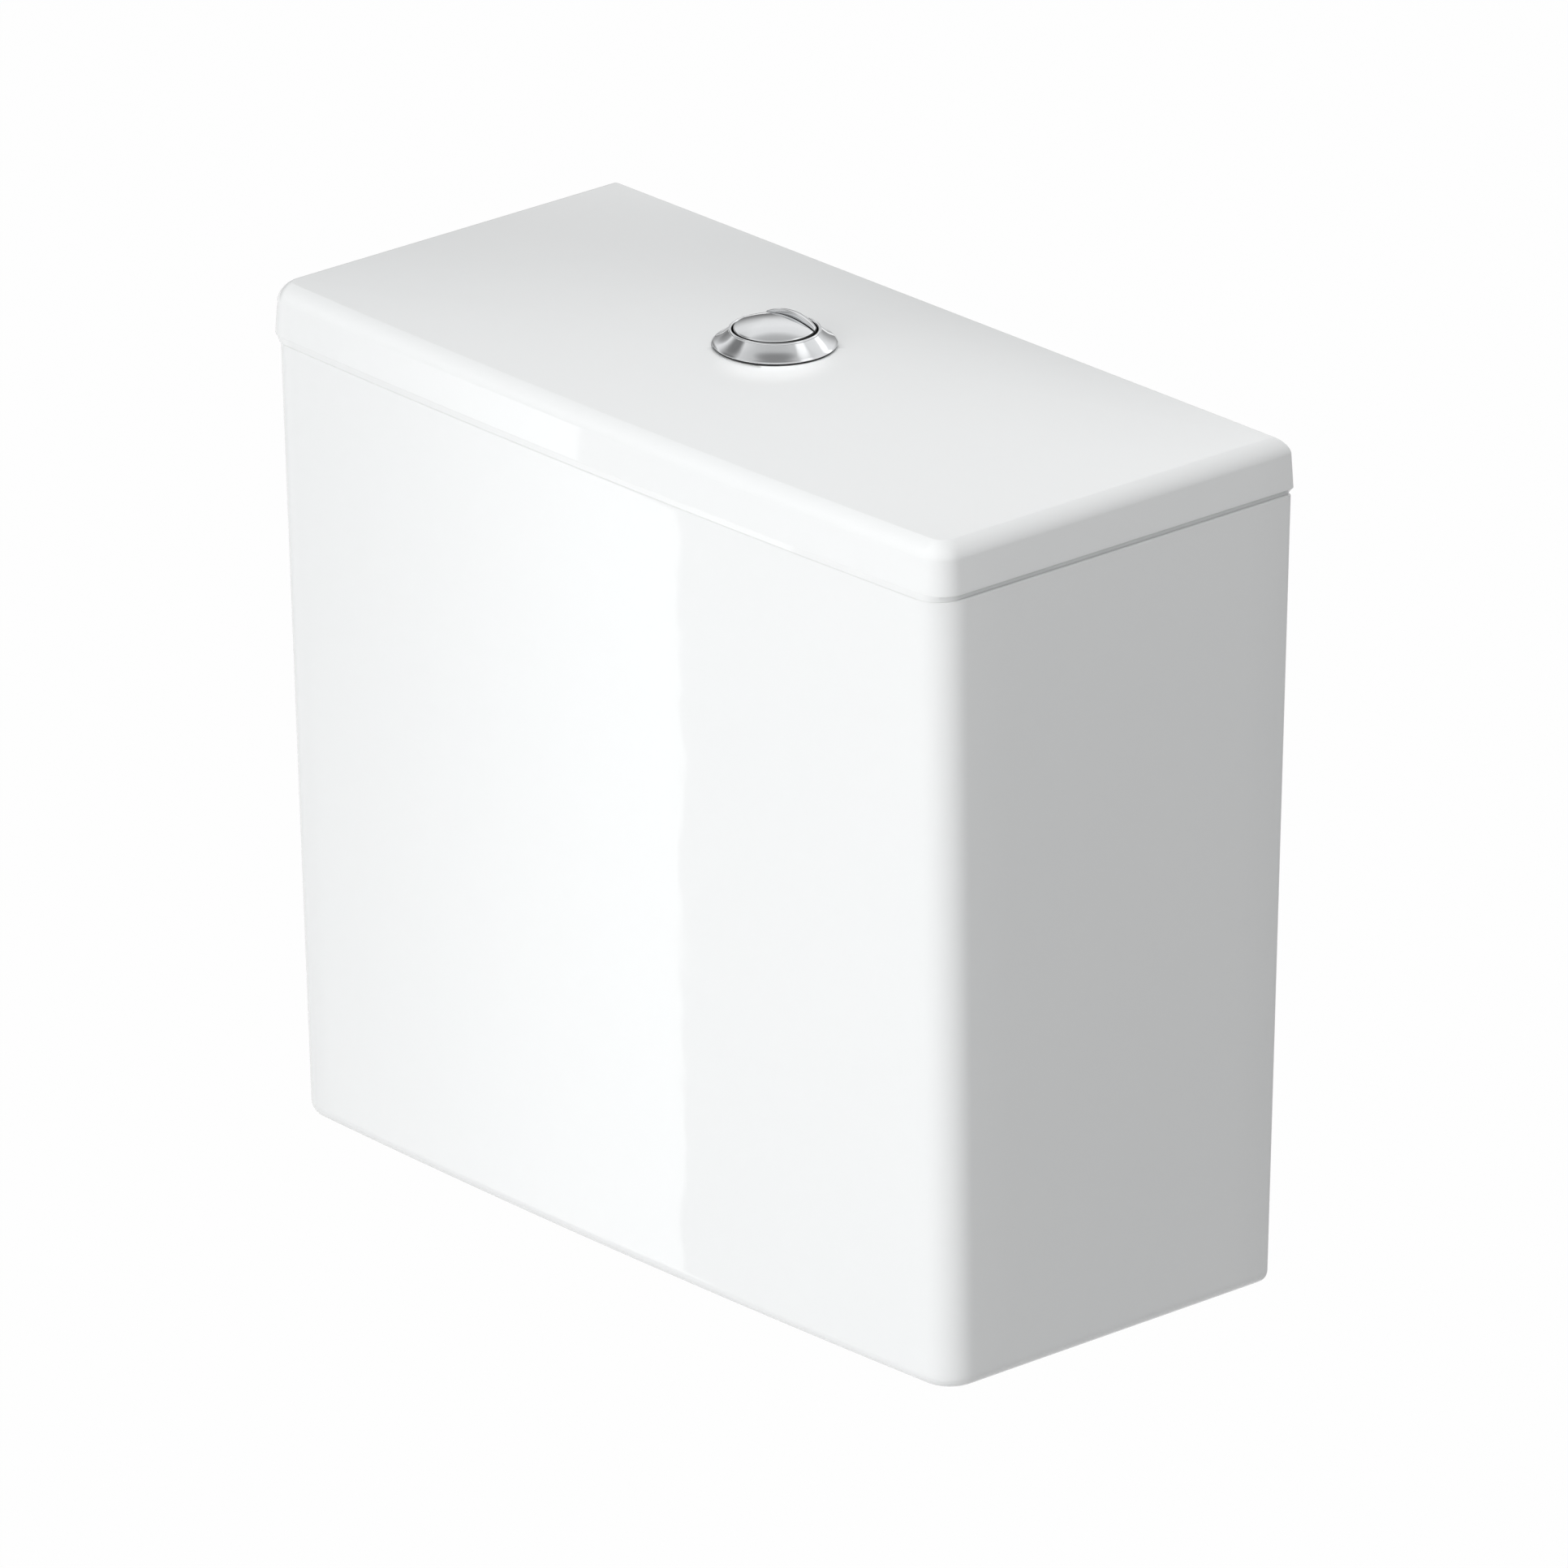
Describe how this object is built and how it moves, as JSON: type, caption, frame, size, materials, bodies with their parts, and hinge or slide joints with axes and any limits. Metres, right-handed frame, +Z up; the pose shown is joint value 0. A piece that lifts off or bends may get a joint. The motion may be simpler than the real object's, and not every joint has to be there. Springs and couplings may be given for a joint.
{
  "type": "toilet cistern",
  "caption": "Close-coupled ceramic toilet cistern with a lift-off lid, a split chrome push button, a lever-lifted flush valve and a float-operated fill valve.",
  "frame": {"origin": "midway between the two pan studs, on the ledge of the pan that the cistern is bolted to", "axes": "+Z up; -Y towards the user, the bowed front; X across the width, +X to the right as the user sees it"},
  "size_m": [0.3914, 0.1861, 0.407],
  "materials": {
    "glaze": "gloss",
    "chrome": "polished",
    "white_plastic": "satin",
    "grey_plastic": "satin",
    "blue_plastic": "satin",
    "rubber": "matt",
    "steel": "plain"
  },
  "bodies": {
    "tank": {"tank": "glaze", "valve_seat": "white_plastic", "seat_washer": "rubber", "outlet_back_nut": "white_plastic", "coupling_gasket": "rubber", "valve_cage": "white_plastic", "valve_head": "white_plastic", "lever_pin": "steel", "fill_valve_body": "white_plastic", "inlet_washer": "rubber", "inlet_back_nut": "white_plastic", "inlet_filter": "blue_plastic", "fill_valve_cap": "white_plastic", "fill_diaphragm": "rubber", "float_arm_pin": "steel", "pan_bolts": "steel", "bolt_cone_washers": "rubber", "bolt_steel_washers": "steel", "bolt_flat_washers": "rubber", "bolt_nuts": "steel"},
    "lid": {"lid": "glaze", "button_bezel": "chrome", "bezel_gasket": "rubber", "bezel_lock_nut": "white_plastic", "full_button_spring": "steel", "half_button_spring": "steel"},
    "full_button": {"full_flush_button": "chrome", "full_flush_rod": "grey_plastic"},
    "half_button": {"half_flush_button": "chrome", "half_flush_rod": "grey_plastic"},
    "full_lever": {"full_flush_lever": "blue_plastic"},
    "half_lever": {"half_flush_lever": "blue_plastic"},
    "yoke": {"lift_yoke": "grey_plastic"},
    "flush_tube": {"overflow_tube": "grey_plastic", "tube_float": "white_plastic", "flush_seal": "rubber", "seal_retainer": "white_plastic"},
    "float": {"float_cup": "white_plastic", "float_link": "steel"},
    "float_lever": {"float_arm": "blue_plastic"}
  },
  "joints": [
    {"name": "lid_lift", "type": "slide", "parent": "tank", "child": "lid", "axis": [0, 0, 1], "range_m": [0, 0.16]},
    {"name": "full_flush_press", "type": "slide", "parent": "lid", "child": "full_button", "axis": [0, 0, -1], "range_m": [0, 0.005], "stiffness_N_per_m": 600, "springref_m": -0.004, "deforming": ["full_button_spring"]},
    {"name": "half_flush_press", "type": "slide", "parent": "lid", "child": "half_button", "axis": [0, 0, -1], "range_m": [0, 0.005], "stiffness_N_per_m": 600, "springref_m": -0.004, "deforming": ["half_button_spring"]},
    {"name": "full_lever_turn", "type": "hinge", "parent": "tank", "child": "full_lever", "pos_m": [0, 0.001, 0.29343], "axis": [1, 0, 0], "range_deg": [0, 26.36]},
    {"name": "half_lever_turn", "type": "hinge", "parent": "tank", "child": "half_lever", "pos_m": [0, 0.001, 0.29343], "axis": [-1, 0, 0], "range_deg": [0, 26.36]},
    {"name": "yoke_lift", "type": "slide", "parent": "tank", "child": "yoke", "axis": [0, 0, 1], "range_m": [0, 0.01]},
    {"name": "tube_lift", "type": "slide", "parent": "yoke", "child": "flush_tube", "axis": [0, 0, 1], "range_m": [0, 0.0082]},
    {"name": "float_rise", "type": "slide", "parent": "tank", "child": "float", "axis": [0, 0, 1], "range_m": [0, 0.015]},
    {"name": "float_arm_turn", "type": "hinge", "parent": "tank", "child": "float_lever", "pos_m": [-0.152, 0, 0.288], "axis": [0, -1, 0], "range_deg": [0, 21.55]}
  ],
  "couplings": [
    {"joint": "full_lever_turn", "follows": "full_flush_press", "rad_per_m": 92},
    {"joint": "yoke_lift", "follows": "full_flush_press", "ratio": 2},
    {"joint": "half_lever_turn", "follows": "half_flush_press", "rad_per_m": 92},
    {"joint": "tube_lift", "follows": "half_flush_press", "ratio": 1.64},
    {"joint": "float_arm_turn", "follows": "float_rise", "rad_per_m": 25.066}
  ]
}
